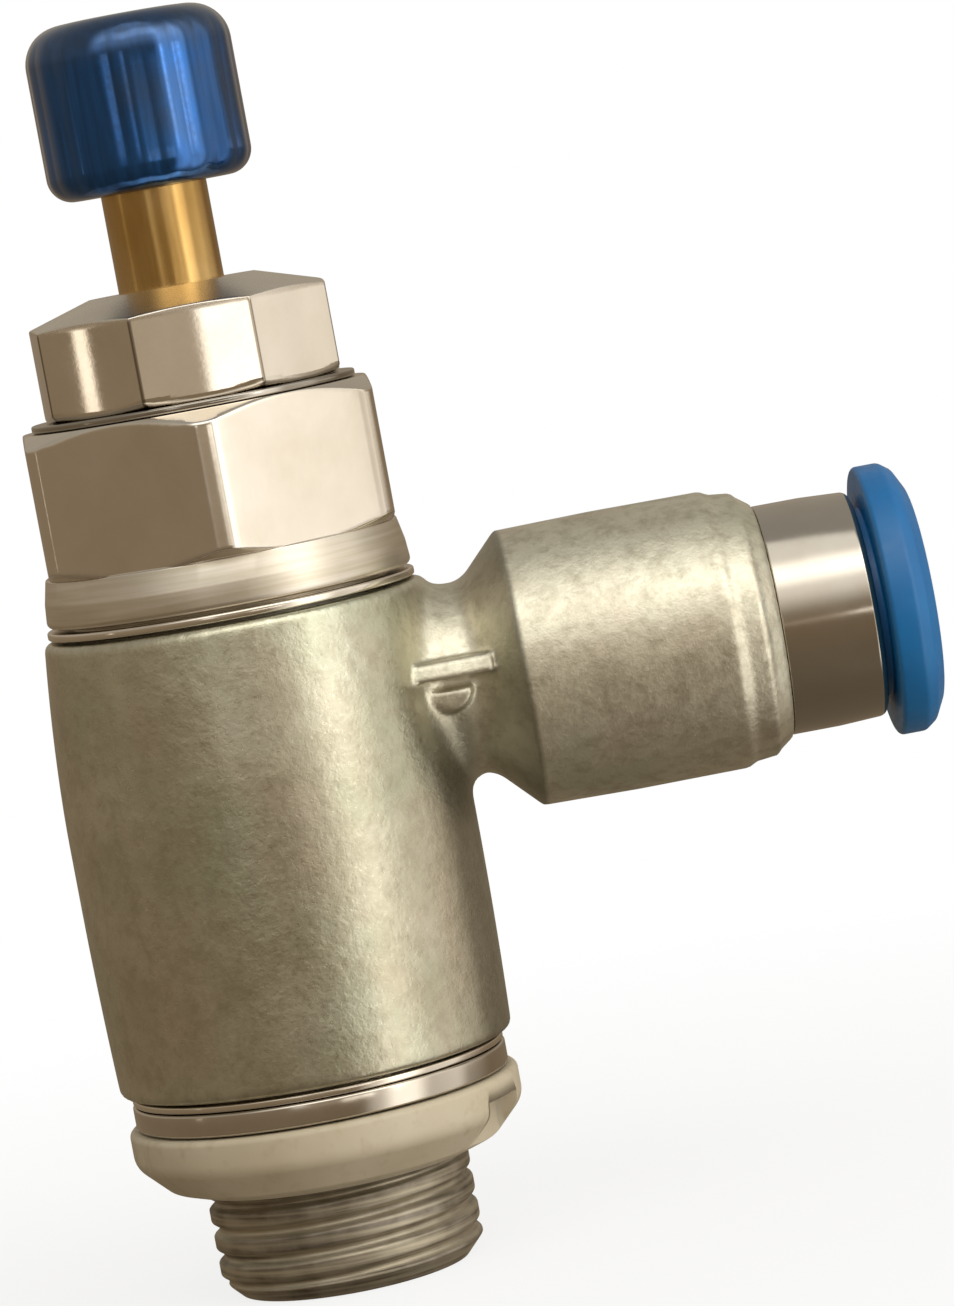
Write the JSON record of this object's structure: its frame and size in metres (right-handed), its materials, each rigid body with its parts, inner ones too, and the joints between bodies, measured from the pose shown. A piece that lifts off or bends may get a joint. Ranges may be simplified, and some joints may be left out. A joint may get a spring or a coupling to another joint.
{
  "type": "flow control valve",
  "caption": "One-way flow control valve: hollow bolt with port thread, swivel housing with push-in tube connection, needle screw with knob and lock nut.",
  "frame": {"origin": "centre of the seat plane, where the port thread meets the face of the threaded port", "axes": "+Z along the hollow bolt towards the knob, +X along the side branch towards the tube"},
  "size_m": [0.0434, 0.0198, 0.0627],
  "materials": {
    "nickel_plated_brass": "bright nickel plating",
    "zinc_diecast": "passivated die-cast zinc, fine grained satin",
    "brass": "turned, polished",
    "blue_anodised_aluminium": "blue anodised, satin",
    "blue_plastic": "moulded, satin",
    "cream_plastic": "moulded, matt",
    "white_plastic": "moulded, matt",
    "nitrile_rubber": "moulded, matt",
    "spring_steel": "stamped, satin"
  },
  "bodies": {
    "bolt": {"hollow_bolt": "nickel_plated_brass", "thread_seal_ring": "cream_plastic", "body_retaining_ring": "nickel_plated_brass", "lower_thrust_washer": "nickel_plated_brass", "lower_o_ring": "nitrile_rubber", "check_seal": "nitrile_rubber", "check_seal_backup_ring": "white_plastic", "upper_o_ring": "nitrile_rubber", "upper_thrust_washer": "nickel_plated_brass", "screw_retaining_ring": "spring_steel"},
    "swivel": {"swivel_housing": "zinc_diecast", "tube_seal": "nitrile_rubber", "seal_spacer_ring": "white_plastic", "collet_support_ring": "brass", "grip_collet": "spring_steel", "cartridge_sleeve": "nickel_plated_brass"},
    "release": {"release_ring": "blue_plastic"},
    "screw_slide": {"screw_o_ring": "nitrile_rubber"},
    "screw": {"regulating_screw": "brass", "adjusting_knob": "blue_anodised_aluminium"},
    "nut_slide": {"lock_washer": "nickel_plated_brass"},
    "nut": {"lock_nut": "nickel_plated_brass"}
  },
  "joints": [
    {"name": "housing_swivel", "type": "hinge", "parent": "bolt", "child": "swivel", "pos_m": [0, 0, 0.016], "axis": [0, 0, 1], "continuous": true},
    {"name": "screw_travel", "type": "slide", "parent": "bolt", "child": "screw_slide", "axis": [0, 0, 1], "range_m": [-0.004, 0.0005]},
    {"name": "screw_turn", "type": "hinge", "parent": "screw_slide", "child": "screw", "pos_m": [0, 0, 0.033], "axis": [0, 0, 1], "range_deg": [-2880, 360]},
    {"name": "nut_travel", "type": "slide", "parent": "bolt", "child": "nut_slide", "axis": [0, 0, 1], "range_m": [0, 0.0005]},
    {"name": "nut_turn", "type": "hinge", "parent": "nut_slide", "child": "nut", "pos_m": [0, 0, 0.0415], "axis": [0, 0, 1], "range_deg": [0, 360]},
    {"name": "release_push", "type": "slide", "parent": "swivel", "child": "release", "axis": [1, 0, 0], "range_m": [-0.00035, 0], "stiffness_N_per_m": 3000}
  ],
  "couplings": [
    {"joint": "screw_travel", "follows": "screw_turn", "m_per_rad": 0.000079577},
    {"joint": "nut_travel", "follows": "nut_turn", "m_per_rad": 0.000079577}
  ]
}
